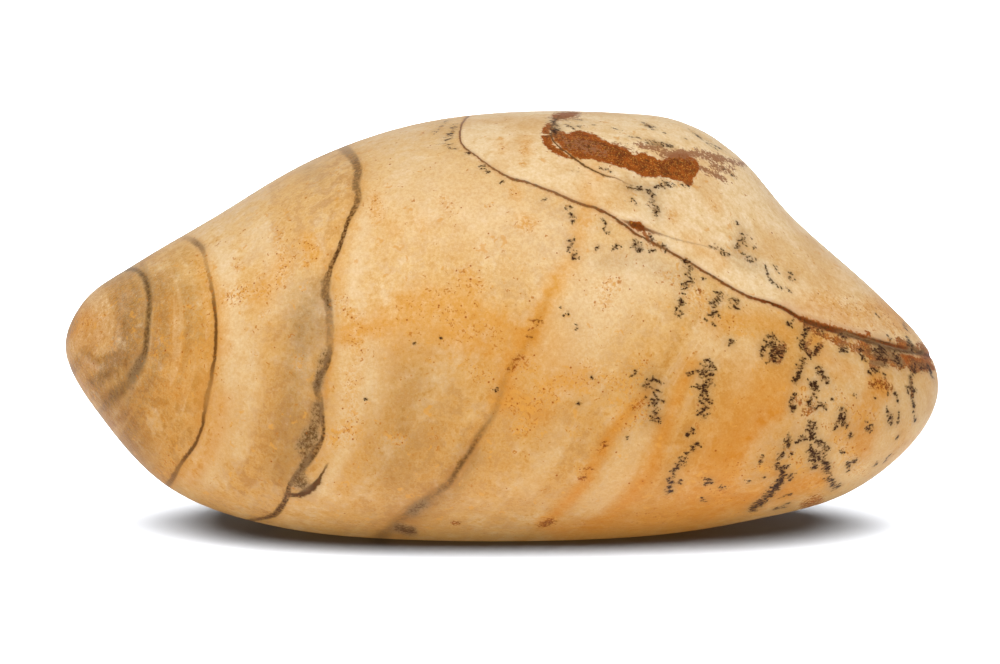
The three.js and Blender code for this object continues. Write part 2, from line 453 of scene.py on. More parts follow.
        (0.5, 0.25, [(124, 296), (118, 330), (112, 350)]),
    ],
    "speckled": [
        (1, 0.4, [(230, 296), (241, 291)]),
        (0.9, 0.35, [(255, 291), (264, 292)]),
        (0.7, 0.35, [(285, 269), (279, 281)]),
        (0.6, 0.25, [(235, 264), (237, 268)]),
        (0.5, 0.3, [(260, 274), (262, 278)]),
        (0.7, 0.12, [(270, 321), (270, 323)]),
        (0.7, 0.35, [(155, 353), (164, 343)]),
        (0.7, 0.2, [(189, 305), (191, 308)]),
        (0.8, 0.4, [(74, 331), (84, 322)]),
        (0.6, 0.35, [(92, 320), (98, 317)]),
        (0.5, 0.4, [(352, 334), (358, 350)]),
        (0.6, 0.35, [(354, 337), (359, 344)]),
        (0.6, 0.4, [(339, 436), (354, 436)]),
        (0.6, 0.2, [(414, 343), (416, 343)]),
        (0.6, 0.2, [(441, 337), (442, 338)]),
        (0.5, 0.2, [(430, 335), (432, 336)]),
        (0.5, 0.2, [(431, 361), (433, 362)]),
        (0.6, 0.3, [(388, 437), (403, 441)]),
        (0.5, 0.2, [(433, 435), (435, 437)]),
        (1, 0.55, [(511, 402), (525, 411), (541, 399)]),
        (0.9, 0.3, [(517, 431), (528, 429)]),
        (0.8, 0.45, [(549, 388), (565, 381), (582, 386)]),
        (0.8, 0.4, [(510, 369), (533, 367)]),
        (0.7, 0.45, [(452, 324), (468, 336)]),
        (0.6, 0.4, [(472, 370), (489, 377)]),
        (0.5, 0.15, [(355, 464), (356, 465)]),
        (0.5, 0.15, [(338, 483), (339, 484)]),
        (0.6, 0.15, [(351, 521), (353, 521)]),
        (0.5, 0.2, [(332, 511), (334, 512)]),
        (0.6, 0.2, [(544, 523), (550, 522)]),
        (0.6, 0.25, [(577, 469), (581, 471)]),
        (0.5, 0.25, [(568, 434), (576, 427)]),
        (0.5, 0.35, [(350, 372), (351, 395), (349, 415)]),
        (0.5, 0.3, [(358, 328), (380, 331)]),
        (0.6, 0.4, [(402, 306), (415, 320)]),
        (0.6, 0.2, [(430, 302), (431, 316)]),
        (0.8, 0.15, [(525, 144), (525, 151)]),
        (0.5, 0.2, [(502, 145), (504, 147)]),
        (0.7, 0.15, [(515, 190), (515, 194)]),
        (0.8, 0.3, [(521, 224), (529, 224)]),
        (0.5, 0.15, [(489, 203), (490, 205)]),
        (0.5, 0.15, [(609, 203), (610, 205)]),
        (0.5, 0.25, [(672, 213), (673, 216)]),
        (0.5, 0.2, [(714, 206), (716, 207)]),
        (0.6, 0.2, [(606, 172), (608, 173)]),
        (0.4, 0.3, [(442, 198), (450, 208)]),
        (0.7, 0.5, [(461, 272), (470, 280), (478, 286)]),
        (0.5, 0.2, [(609, 286), (611, 287)]),
        (0.4, 0.15, [(585, 281), (586, 283)]),
        (1, 0.1, [(734, 399), (734, 401)]),
        (0.6, 0.1, [(765, 371), (767, 372)]),
        (0.6, 0.1, [(727, 446), (728, 447)]),
        (0.7, 0.2, [(717, 489), (722, 490)]),
        (0.7, 0.15, [(730, 514), (745, 513), (757, 514)]),
        (0.9, 0.25, [(706, 480), (711, 488)]),
        (0.9, 0.25, [(760, 466), (769, 468)]),
        (0.8, 0.4, [(622, 416), (634, 420), (645, 410)]),
        (0.4, 0.3, [(675, 515), (661, 517)]),
        (0.5, 0.3, [(815, 490), (826, 484)]),
        (0.6, 0.3, [(300, 358), (299, 366)]),
        (0.5, 0.3, [(172, 440), (166, 470)]),
        (0.4, 0.6, [(200, 300), (204, 350)]),
        (0.5, 0.6, [(870, 308), (896, 326)]),
        (0.4, 0.5, [(830, 300), (852, 312)]),
        (0.5, 0.4, [(640, 515), (670, 520)]),
        (0.4, 0.8, [(430, 300), (500, 330)]),
        (0.8, 0.3, [(304, 240), (314, 252), (306, 262)]),
        (0.6, 0.3, [(376, 200), (376, 212)]),
        (0.7, 0.25, [(246, 300), (238, 292)]),
        (0.6, 0.3, [(196, 262), (206, 280)]),
        (0.6, 0.2, [(214, 296), (214, 320)]),
        (0.7, 0.35, [(338, 300), (352, 318)]),
        (0.7, 0.4, [(330, 440), (352, 424)]),
        (0.6, 0.35, [(278, 232), (284, 262)]),
        (0.5, 0.6, [(590, 372), (620, 384)]),
        (0.6, 0.5, [(605, 300), (612, 284)]),
        (0.7, 0.3, [(668, 276), (702, 294)]),
        (0.6, 0.4, [(690, 300), (742, 330)]),
        (0.6, 0.5, [(640, 360), (625, 400)]),
        (0.7, 0.4, [(800, 392), (815, 412)]),
        (0.6, 0.5, [(835, 400), (870, 420)]),
        (0.6, 0.5, [(840, 440), (858, 470)]),
        (0.6, 0.4, [(736, 466), (720, 500)]),
        (0.7, 0.3, [(790, 450), (800, 470)]),
    ],
}

rustPatches = {
    "outlines": [
        [
            (552.5, 130), (558, 130.5), (562, 131), (568, 133), (575, 131), (584, 131), (594, 134),
            (603, 139), (612, 143), (622, 146), (629, 150), (632, 155), (639, 153), (647, 153),
            (655, 157), (663, 160), (668, 156), (674, 153), (684, 153), (693, 156), (698, 161),
            (700, 168), (697, 175), (693, 181), (690, 188), (685, 184), (678, 181), (670, 178),
            (656, 177), (644, 177), (637, 174), (630, 170), (621, 168), (612, 164), (602, 162),
            (592, 160), (582, 158.5), (575, 157), (568, 153), (560, 147), (555, 141), (553, 136),
        ],
        [
            (543, 127), (548, 123), (552, 125), (550.5, 131), (551, 138), (553.5, 143),
            (559, 148.5), (567, 154), (573, 158), (563, 158), (555, 154), (548, 149), (542, 141),
            (540, 134),
        ],
        [
            (551, 115), (558, 113), (570, 112.5), (579, 112), (576, 115.5), (567, 119), (557, 121),
            (553, 119),
        ],
        [(899, 354), (909, 355), (920, 358), (930, 361), (936, 368), (931, 372), (922, 371),
         (913, 373), (908, 368), (903, 361)],
        [(864, 331), (868, 330), (871, 336), (866, 337)],
        [(630, 222), (635, 220), (640, 222), (644, 226), (643, 230), (637, 231), (631, 228)],
    ],
    "fadeFrom": 0.5,  # how far behind the middle a patch starts to thin out
    "fade": 0.45,
}

# dendrites: how far the twigs reach, how thick they grow, and the stem
dendrites = {
    "seed": 7,
    "step": 0.09,
    "grain": (0.035, 0.075),
    "body": 0.4,  # how far grains stray from the stem, as a share of the twigs' reach
    "bodyRange": (0.3, 1.4),
    "crowd": 4.0,  # how many more grains a stem holds for each millimetre its twigs reach
    "twigs": 0.4,
    "twigTurn": (30, 80),  # degrees off the stem
    "twigLength": (0.5, 1.3),
    "twigStart": (0.05, 0.1),
    "twigStep": (0.06, 0.1),
    "stray": (0.03, 0.02),  # off the stem and off a twig
    "fieldRange": (-0.15, 0.6),  # how deep outside a grain, and how far round it, is measured
    "hazeReach": 0.28,
    "haze": 0.08,  # what each grain adds to the haze round it
    "stems": [
        (0.25, 0.8, [(628, 187), (640, 189), (649, 190), (660, 187), (668, 184)]),
        (0.25, 1, [(649, 190), (652, 196), (652, 205), (659, 213)]),
        (0.15, 0.6, [(575, 171), (576, 177)]),
        (0.25, 0.9, [(574, 240), (567, 248)]),
        (0.25, 0.9, [(577, 251), (575, 261)]),
        (0.15, 0.7, [(599, 242), (598, 253)]),
        (0.3, 0.5, [(633, 198), (633, 205)]),
        (0.3, 1.1, [(680, 299), (679, 308), (679, 318)]),
        (0.3, 0.6, [(690, 270), (688, 284), (683, 296)]),
        (0.15, 0.7, [(704, 278), (704, 286)]),
        (0.35, 0.9, [(720, 291), (716, 304), (713, 316), (710, 324)]),
        (0.35, 1, [(734, 298), (735, 310)]),
        (0.4, 0.8, [(561, 315), (570, 313)]),
        (0.25, 0.5, [(575, 323), (580, 326)]),
        (0.15, 0.8, [(466, 152), (470, 156)]),
        (0.25, 0.6, [(480, 166), (492, 174)]),
        (0.2, 0.6, [(498, 180), (506, 184)]),
        (0.15, 0.6, [(545, 198), (541, 204)]),
        (0.3, 0.6, [(568, 206), (575, 222)]),
        (0.2, 0.7, [(604, 219), (608, 234)]),
        (0.15, 0.6, [(620, 246), (612, 250)]),
        (0.35, 0.5, [(634, 243), (645, 250)]),
        (0.3, 0.6, [(681, 260), (694, 270)]),
        (0.1, 0.9, [(738, 223), (738, 225)]),
        (0.4, 0.9, [(744, 233), (742, 242), (738, 252)]),
        (0.3, 0.8, [(742, 253), (751, 261), (757, 261)]),
        (0.15, 0.8, [(752, 248), (757, 248)]),
        (0.12, 1.1, [(766, 266), (768, 276), (775, 284), (782, 288)]),
        (0.3, 0.6, [(773, 264), (778, 276)]),
        (0.15, 1, [(785, 287), (792, 294)]),
        (0.2, 0.8, [(792, 273), (791, 280)]),
        (0.15, 0.6, [(769, 255), (770, 260)]),
        (0.3, 0.5, [(709, 245), (716, 248), (731, 256)]),
        (0.35, 0.9, [(728, 339), (733, 346)]),
        (0.5, 0.9, [(704, 359), (711, 363), (703, 373), (711, 381)]),
        (0.4, 0.9, [(711, 381), (700, 391), (708, 398), (703, 402), (706, 420)]),
        (0.2, 0.8, [(692, 371), (690, 376)]),
        (0.5, 0.7, [(652, 376), (651, 393), (656, 404), (652, 422)]),
        (0.2, 0.8, [(635, 371), (634, 378)]),
        (0.25, 1.3, [(776, 463), (783, 473), (778, 487), (766, 499), (755, 510)]),
        (0.2, 0.7, [(693, 429), (684, 437)]),
        (0.25, 1, [(698, 444), (688, 454), (680, 464), (672, 476), (668, 495)]),
        (0.15, 0.8, [(681, 480), (679, 485)]),
        (0.3, 0.7, [(708, 478), (711, 487)]),
        (0.2, 0.6, [(702, 497), (706, 502)]),
        (0.2, 0.6, [(720, 487), (727, 490)]),
        (0.1, 0.8, [(592, 376), (593, 378)]),
        (0.12, 0.9, [(578, 402), (580, 405)]),
        (0.1, 0.8, [(495, 390), (497, 391)]),
        (0.1, 0.8, [(626, 438), (627, 439)]),
        (0.08, 0.9, [(414, 343), (415, 344)]),
        (0.08, 0.9, [(441, 337), (442, 338)]),
        (0.1, 0.7, [(365, 396), (366, 401)]),
        (0.1, 0.5, [(447, 120), (437, 131), (432, 136)]),
        (0.25, 0.6, [(455, 124), (448, 142), (455, 150)]),
        (0.2, 0.8, [(645, 124), (651, 129)]),
        (0.12, 1, [(646, 143), (658, 145), (670, 146)]),
        (0.1, 0.6, [(688, 129), (695, 134), (700, 138)]),
        (0.1, 0.5, [(704, 141), (716, 146), (729, 154)]),
        (0.1, 0.7, [(685, 138), (688, 140)]),
        (0.1, 0.6, [(720, 167), (736, 178)]),
        (0.25, 0.7, [(552, 122), (556, 128), (553, 136)]),
        (0.12, 0.9, [(566, 124), (576, 130)]),
        (0.1, 0.5, [(660, 178), (672, 184), (690, 186)]),
        (0.12, 0.6, [(560, 118), (572, 122), (582, 129)]),
        (0.1, 0.6, [(570, 119), (584, 121), (598, 126)]),
        (0.08, 0.7, [(625, 137), (640, 138), (648, 141)]),
        (0.1, 0.8, [(650, 141), (662, 143), (674, 147)]),
        (0.08, 0.6, [(686, 127), (694, 132), (702, 139)]),
        (0.08, 0.6, [(706, 143), (716, 149), (724, 154)]),
        (0.15, 0.8, [(642, 122), (650, 126), (656, 127)]),
        (0.08, 0.5, [(612, 128), (624, 131)]),
        (0.08, 0.5, [(626, 144), (634, 149)]),
        (0.1, 0.5, [(660, 131), (668, 134)]),
        (0.3, 0.8, [(553, 118), (555, 126), (552, 134)]),
        (0.1, 0.5, [(600, 168), (612, 172)]),
        (0.2, 0.7, [(648, 236), (660, 244), (668, 250)]),
        (0.15, 0.6, [(636, 240), (630, 250)]),
        (0.15, 0.6, [(655, 248), (648, 254)]),
        (0.55, 1.3, [(775, 336), (773, 346), (775, 356), (775, 363)]),
        (0.3, 0.7, [(785, 342), (784, 350), (781, 356)]),
        (0.25, 1, [(763, 347), (762, 352), (761, 357)]),
        (0.2, 1, [(793, 319), (790, 323), (788, 326)]),
        (0.25, 1.5, [(809, 328), (804, 336), (801, 344), (804, 351)]),
        (0.15, 1.2, [(814, 327), (820, 330), (824, 332)]),
        (0.15, 0.8, [(806, 353), (811, 355), (816, 351), (821, 344)]),
        (0.15, 1.2, [(814, 354), (817, 351)]),
        (0.3, 1.2, [(839, 334), (843, 337), (847, 339)]),
        (0.3, 1.1, [(841, 349), (844, 353), (845, 347)]),
        (0.25, 1, [(860, 349), (861, 352)]),
        (0.25, 1, [(863, 356), (864, 360)]),
        (0.45, 1.5, [(872, 349), (879, 351), (886, 350)]),
        (0.4, 1.3, [(875, 357), (882, 358), (888, 362)]),
        (0.35, 1.2, [(892, 354), (898, 357), (895, 363)]),
        (0.25, 1.1, [(868, 373), (874, 371), (880, 371)]),
        (0.2, 1.1, [(883, 373), (886, 376)]),
        (0.3, 1.2, [(910, 370), (917, 368), (925, 367), (930, 368)]),
        (0.3, 1.2, [(929, 370), (932, 374), (933, 379)]),
        (0.2, 0.7, [(911, 374), (911, 382)]),
        (0.3, 1.1, [(910, 385), (911, 391)]),
        (0.2, 1, [(907, 391), (917, 390)]),
        (0.15, 1.1, [(912, 394), (913, 402), (914, 408)]),
        (0.12, 1.1, [(914, 410), (914, 417), (915, 421), (917, 418)]),
        (0.3, 1.1, [(907, 337), (911, 343), (910, 348)]),
        (0.2, 1, [(888, 335), (891, 340)]),
        (0.15, 0.8, [(904, 322), (906, 330)]),
        (0.12, 1, [(877, 314), (878, 318)]),
        (0.2, 1.9, [(805, 358), (802, 366), (799, 373), (796, 379), (793, 384)]),
        (0.25, 1.6, [(818, 367), (820, 372), (824, 377), (829, 384)]),
        (0.2, 1.2, [(808, 383), (813, 386), (816, 384), (816, 388), (813, 396)]),
        (0.15, 1.2, [(811, 396), (809, 402), (809, 407)]),
        (0.2, 1.3, [(795, 393), (792, 399), (793, 406), (794, 412)]),
        (0.2, 1, [(815, 412), (818, 405), (821, 403)]),
        (0.12, 1, [(823, 407), (827, 406)]),
        (0.1, 1, [(831, 399), (832, 399)]),
        (0.15, 0.9, [(854, 394), (857, 396)]),
        (0.1, 0.9, [(875, 397), (875, 398)]),
        (0.3, 1.3, [(841, 409), (843, 414), (841, 419), (846, 420)]),
        (0.15, 1, [(835, 427), (836, 428)]),
        (0.15, 1, [(842, 426), (849, 428)]),
        (0.2, 0.8, [(850, 434), (852, 438)]),
        (0.25, 0.7, [(865, 422), (869, 428), (871, 433)]),
        (0.12, 1.1, [(897, 437), (898, 438)]),
        (0.25, 1.5, [(885, 411), (889, 415), (891, 420), (891, 427)]),
        (0.15, 1.1, [(899, 412), (898, 420), (897, 427)]),
        (0.15, 1, [(894, 393), (897, 398), (898, 404)]),
        (0.12, 0.9, [(888, 392), (889, 396)]),
        (0.4, 1.4, [(815, 421), (810, 427), (808, 433)]),
        (0.35, 1.2, [(812, 433), (813, 438), (808, 440)]),
        (0.2, 1.1, [(806, 439), (799, 440), (798, 443)]),
        (0.15, 1.2, [(816, 440), (817, 443)]),
        (0.25, 1.5, [(811, 446), (812, 455), (815, 462), (814, 470)]),
        (0.3, 1.6, [(816, 453), (822, 460), (827, 467), (828, 475)]),
        (0.25, 1.6, [(828, 476), (832, 482), (834, 486), (838, 488)]),
        (0.25, 0.9, [(820, 441), (824, 446), (828, 455)]),
        (0.3, 1.5, [(789, 437), (787, 443), (786, 449)]),
        (0.2, 1, [(783, 452), (780, 457), (778, 461)]),
        (0.15, 1.1, [(790, 453), (793, 455)]),
        (0.12, 0.7, [(788, 431), (789, 435)]),
        (0.2, 1.4, [(776, 466), (781, 469), (783, 475)]),
        (0.3, 1.7, [(783, 476), (778, 484), (771, 491), (766, 497)]),
        (0.3, 1.4, [(766, 496), (759, 502), (754, 507), (753, 512)]),
        (0.2, 1.1, [(786, 464), (790, 468)]),
        (0.2, 1.1, [(788, 474), (791, 479), (785, 481)]),
        (0.15, 0.9, [(779, 498), (787, 495), (794, 494)]),
        (0.2, 1.1, [(774, 510), (780, 507), (786, 504), (790, 502)]),
        (0.15, 1, [(782, 507), (787, 508)]),
        (0.15, 0.7, [(841, 450), (846, 454)]),
        (0.15, 1, [(848, 461), (849, 468), (847, 473)]),
        (0.15, 1, [(853, 461), (856, 462), (855, 459)]),
        (0.2, 1.2, [(874, 466), (877, 463)]),
        (0.12, 0.9, [(891, 454), (886, 459), (884, 463)]),
        (0.1, 0.9, [(763, 455), (759, 466)]),
        (0.15, 1.1, [(764, 478), (765, 477)]),
        (0.1, 0.8, [(749, 481), (750, 482)]),
    ],
}

# the same on the back, where a stem is drawn from behind: across from the middle and up from
# the table, in millimetres
backDendrites = [
    (0.35, 1.0, [(13.5, 13.2), (13.2, 12.2), (13.4, 11.3)]),
    (0.3, 1.0, [(11.8, 12.6), (11.5, 11.8), (11.0, 11.2)]),
    (0.4, 1.1, [(16.2, 9.8), (15.6, 8.9), (15.8, 8.0)]),
    (0.3, 0.9, [(17.4, 8.4), (17.0, 7.6)]),
    (0.35, 1.1, [(14.2, 8.8), (13.6, 7.8), (12.8, 7.0), (12.4, 6.2)]),
    (0.3, 1.0, [(12.2, 9.4), (11.9, 8.6)]),
    (0.25, 1.2, [(15.0, 6.2), (14.4, 5.4), (13.4, 4.6)]),
    (0.4, 0.9, [(9.4, 10.8), (8.8, 10.0), (8.9, 9.2)]),
    (0.3, 0.8, [(6.8, 14.8), (6.4, 14.0), (6.6, 13.2)]),
    (0.3, 0.9, [(4.6, 16.4), (4.2, 15.6)]),
    (0.35, 0.7, [(8.2, 6.8), (7.4, 6.0), (7.0, 5.2)]),
    (0.25, 0.8, [(-3.0, 17.0), (-3.4, 16.2)]),
    (0.2, 0.8, [(-9.6, 12.6), (-9.8, 12.0)]),
]

stone = {
    "mergeGap": 0.001,
    "levels": 2,  # rounds off the solid's flat faces
    "cuts": 2,  # extra cuts of each face under fine markings
    "fineReach": 0.22,
    "veinReach": 1.5,
    # the furrow starts and is full at these widths of the crack
    "furrow": {"from": 0.09, "full": 0.15, "depth": 0.07, "reach": 0.11},
    # the crack's raised upper lip in the geometry
    "lipAndGlint": {"height": 0.03, "away": 0.24, "reach": 0.12},
    "pits": [(324.5, 301), (322, 371), (318, 384), (297, 489), (207, 284), (112, 342)],
    "pitDepth": 0.09,
    "pitReach": 0.14,
}

bake = {
    "heart": (0.0, 0.0, 9.5),
    "lean": 20.0,  # how far over the front chart looks
    "stretch": (22.0, 11.5, 12.0),
    "radii": (0.48, 0.235),
    "middles": (0.75, 0.25),  # how far up the front chart and the back chart lie
}


# counts the layers from left to right: a whole number on each edge, minus one at the left tip
def layerField(places):
    gaps = [measureLine(places, lengthen(smoothRun(edge, 8)))[0] for edge in layerEdges]
    field = -np.clip(-gaps[0] / layerEnds[0], 0, 1)
    for i, gap in enumerate(gaps):
        right = gap >= 0
        nextGap = -gaps[i + 1] if i + 1 < len(gaps) else layerEnds[1] - gap
        field[right] = i + (gap / (gap + np.clip(nextGap, 1e-3, None)))[right]
    return field


# how strongly a stain's strokes cover each place, from 0 to 1
def washField(places, strokes):
    left = np.ones(len(places))
    for strength, reach, run in strokes:
        far, _ = measureNear(places, smoothRun(run, 4), reach * 3)
        left *= 1 - strength * np.exp(-((far / reach) ** 2))
    return 1 - left


# distance into the rust patches, which thin out towards the back
def patchField(places, depths):
    field = np.full(len(places), -99.0)
    for corners in rustPatches["outlines"]:
        outline = onFace(corners + corners[:1])
        far, _ = measureLine(places, outline)
        inside = np.zeros(len(places), bool)
        for start, end in zip(outline, outline[1:]):
            crosses = (start[1] > places[:, 1]) != (end[1] > places[:, 1])
            rise = end[1] - start[1]
            if rise:
                at = start[0] + (places[:, 1] - start[1]) / rise * (end - start)[0]
                inside ^= crosses & (places[:, 0] < at)
        field = np.maximum(field, np.where(inside, 1, -1) * np.abs(far))
    return field - np.clip(depths - rustPatches["fadeFrom"], 0, None) * rustPatches["fade"]


# the spot on the stone that the camera sees there, and the one seen from straight behind
def castFront(surface, u, v):
    ray = Vector(-backward * distance + upward * v + np.array([u, 0, 0]))
    hit, normal, _, _ = surface.ray_cast(Vector(eye), ray.normalized())
    return hit, normal


def castBack(surface, x, z):
    hit, normal, _, _ = surface.ray_cast(Vector((x, 50, z)), Vector((0, -1, 0)))
    return hit, normal


# grains along a stem and its twigs, each laid on the surface
def growDendrite(surface, draw, reach, density, spots):
    grains = []

    def settle(place, spread):
        place = place + Vector(draw.normal(0, spread, 3))
        grains.append((surface.find_nearest(place)[0], draw.uniform(*dendrites["grain"])))

    spots = [spot for spot in spots if spot[0] is not None]
    for (start, normal), (end, _) in zip(spots, spots[1:]):
        forward = (end - start).normalized()
        across = normal.cross(forward)
        steps = max(1, round((end - start).length / dendrites["step"]))
        for i in range(steps):
            place = start.lerp(end, i / steps)
            thick = dendrites["body"] * reach * draw.uniform(*dendrites["bodyRange"])
            for _ in range(draw.poisson(density * (1.0 + dendrites["crowd"] * reach))):
                settle(place + across * draw.normal(0, thick), dendrites["stray"][0])
            if draw.random() < dendrites["twigs"] * density:
                turn = math.radians(draw.uniform(*dendrites["twigTurn"])) * draw.choice([-1, 1])
                heading = forward * math.cos(turn) + across * math.sin(turn)
                length = reach * draw.uniform(*dendrites["twigLength"])
                walked = draw.uniform(*dendrites["twigStart"])
                while walked < length:
                    settle(place + heading * walked, dendrites["stray"][1])
                    walked += draw.uniform(*dendrites["twigStep"])
    return grains


def growAll(surface):
    draw = np.random.default_rng(dendrites["seed"])
    grains = []
    for reach, density, run in dendrites["stems"]:
        spots = [castFront(surface, u, v) for u, v in smoothRun(run, 4)]
        grains += growDendrite(surface, draw, reach, density, spots)
    for reach, density, run in backDendrites:
        spots = [castBack(surface, x, z) for x, z in run]
        grains += growDendrite(surface, draw, reach, density, spots)
    return grains


# a rounder copy of the solid, in millimetres
def copyStone():
    form = bmesh.new()
    form.from_mesh(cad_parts["stone"].data)
    bmesh.ops.scale(form, vec=(1 / millimetre,) * 3, verts=form.verts)
    bmesh.ops.remove_doubles(form, verts=form.verts, dist=stone["mergeGap"])
    mesh = bpy.data.meshes.new("roughStone")
    form.to_mesh(mesh)
    form.free()
    piece = bpy.data.objects.new("landscapeJasper", mesh)
    bpy.context.scene.collection.objects.link(piece)
    rounder = piece.modifiers.new("rounder", "SUBSURF")
    rounder.levels = rounder.render_levels = stone["levels"]
    bpy.context.view_layer.update()
    ready = piece.evaluated_get(bpy.context.evaluated_depsgraph_get())
    rounded = bpy.data.meshes.new_from_object(ready)
    piece.modifiers.clear()
    piece.data = rounded
    rounded.name = "landscapeJasper"
    return piece


def readPlaces(mesh):
    places = np.zeros(len(mesh.vertices) * 3)
    mesh.vertices.foreach_get("co", places)
    return places.reshape(-1, 3)


# smaller faces under the cracks, the rust patch's edge and the dendrites
def refine(form, grains):
    tree = KDTree(len(grains))
    for i, (place, _) in enumerate(grains):
        tree.insert(place, i)
    tree.balance()
    centres = np.array([(edge.verts[0].co + edge.verts[1].co) / 2 for edge in form.edges])
    drawn = faceMap(centres)
    fine = np.array([tree.find(centre)[2] for centre in centres]) < stone["fineReach"]
    fine |= np.abs(patchField(drawn, centres[:, 1])) < stone["fineReach"]
    for name in ("rustCrack", "knotCrack", "hairCrack"):
        far, rest = measureLine(drawn, lengthen(smoothRun(veins[name])))
        fine |= (np.abs(far) < stone["fineReach"] + rest[:, 0]) & (rest[:, 1] > 0)
    for centre in onFace(stone["pits"]):
        fine |= np.hypot(*(drawn - centre).T) < stone["fineReach"]
    edges = [edge for edge, chosen in zip(form.edges, fine) if chosen]
    bmesh.ops.subdivide_edges(form, edges=edges, cuts=stone["cuts"], use_grid_fill=True)


def store(mesh, name, values):
    flat = values.ndim == 1
    attribute = mesh.attributes.new(name, "FLOAT" if flat else "FLOAT_VECTOR", "POINT")
    attribute.data.foreach_set("value" if flat else "vector", values.astype(np.float32).ravel())


# distance into the nearest grain, and the haze that all grains cast
def storeGrains(mesh, places, grains):
    tree = KDTree(len(places))
    for i, place in enumerate(places):
        tree.insert(place, i)
    tree.balance()
    outside, reach = dendrites["fieldRange"]
    grain = np.full(len(places), outside)
    shade = np.zeros(len(places))
    for centre, size in grains:
        for _, i, far in tree.find_range(centre, reach):
            grain[i] = max(grain[i], size - far)
            shade[i] += dendrites["haze"] * math.exp(-((far / dendrites["hazeReach"]) ** 2))
    store(mesh, "grain", grain)
    store(mesh, "grainShade", np.clip(shade, 0, 1))


# the crack sinks in where it is wide, its upper lip stands up, and small pits are open
def carve(mesh, places, drawn, crackFar, crackWidth):
    cut, lipAndGlint = stone["furrow"], stone["lipAndGlint"]
    wide = np.clip((crackWidth - cut["from"]) / (cut["full"] - cut["from"]), 0, 1)
    lift = -cut["depth"] * wide * np.exp(-((crackFar / cut["reach"]) ** 2))
    lift += lipAndGlint["height"] * wide * np.exp(-(((crackFar - lipAndGlint["away"]) / lipAndGlint["reach"]) ** 2))
    front = places[:, 1] < 0
    for centre in onFace(stone["pits"]):
        far = np.hypot(*(drawn - centre).T)
        lift -= stone["pitDepth"] * np.exp(-((far / stone["pitReach"]) ** 2)) * front
    normals = np.zeros(len(places) * 3)
    mesh.vertices.foreach_get("normal", normals)
    moved = places + lift[:, None] * normals.reshape(-1, 3)
    mesh.vertices.foreach_set("co", moved.ravel())


# two flat charts, the front of the stone over its back, for programs that bake the colours
def layOutBake(mesh, places):
    lean = math.radians(bake["lean"])
    turned = places - np.array(bake["heart"])
    up = turned[:, 2] * math.cos(lean) + turned[:, 1] * math.sin(lean)
    out = turned[:, 2] * math.sin(lean) - turned[:, 1] * math.cos(lean)
    reach = np.stack([turned[:, 0], up, out], axis=1) / np.array(bake["stretch"])
    reach /= np.linalg.norm(reach, axis=1)[:, None]
    corners = np.zeros(len(mesh.loops), int)
    mesh.loops.foreach_get("vertex_index", corners)
    totals = np.zeros(len(mesh.polygons), int)
    mesh.polygons.foreach_get("loop_total", totals)
    starts = np.concatenate([[0], np.cumsum(totals)[:-1]])
    front = np.add.reduceat(reach[corners, 2], starts) > 0
    front = np.repeat(front, totals)
    reach = reach[corners]
    facing = np.where(front, 1.0, -1.0)
    rim = np.arccos(np.clip(reach[:, 2] * facing, -1, 1)) / (math.pi / 2)
    flat = reach[:, :2] / np.maximum(np.hypot(reach[:, 0], reach[:, 1]), 1e-9)[:, None]
    u = 0.5 + flat[:, 0] * facing * rim * bake["radii"][0]
    v = np.where(front, *bake["middles"]) + flat[:, 1] * rim * bake["radii"][1]
    layout = mesh.uv_layers.new(name="OFBake")
    layout.data.foreach_set("uv", np.stack([u, v], axis=1).astype(np.float32).ravel())


def makeStone():
    piece = copyStone()
    form = bmesh.new()
    form.from_mesh(piece.data)
    grains = growAll(BVHTree.FromBMesh(form))
    print("dendrites grown:", len(grains), "grains")
    refine(form, grains)
    form.to_mesh(piece.data)
    form.free()
    mesh = piece.data
    mesh.shade_smooth()
    places = readPlaces(mesh)
    drawn = faceMap(places)
    for name, run in veins.items():
        line = lengthen(smoothRun(run))
        far, rest = measureLine(drawn, line) if name == "rustCrack" else measureNear(drawn, line)
        rest[np.abs(far) > stone["veinReach"]] = (1.0, 0.0)
        store(mesh, name, np.column_stack([far, rest]))
        if name == "rustCrack":
            carve(mesh, places, drawn, far, rest[:, 0] * (rest[:, 1] > 0))
    store(mesh, "layer", layerField(drawn))
    for name, strokes in washes.items():
        store(mesh, name, washField(drawn, strokes))
    store(mesh, "rust", patchField(drawn, places[:, 1]))
    storeGrains(mesh, places, grains)
    layOutBake(mesh, places)
    mesh.transform(Matrix.Scale(millimetre, 4))
    mesh.update()
    print("stone has", len(mesh.polygons), "faces")
    return piece


palette = {
    "cream": (240, 209, 162),
    "sand": (231, 190, 136),
    "biscuit": (221, 174, 112),
    "tan": (207, 159, 101),
    "clay": (194, 142, 84),
    "honey": (218, 162, 86),
    "butter": (234, 190, 124),
    "amber": (226, 160, 72),
    "ochre": (192, 118, 44),
    "rust": (164, 84, 28),
    "brick": (122, 60, 22),
    "mauve": (160, 106, 70),
    "umber": (100, 58, 22),
    "smoke": (158, 124, 84),
    "soot": (84, 56, 24),
    "ink": (62, 38, 14),
    "haze": (160, 128, 88),
    # the tone of the painted highlights and glints
    "lipAndGlint": (238, 200, 158),
}

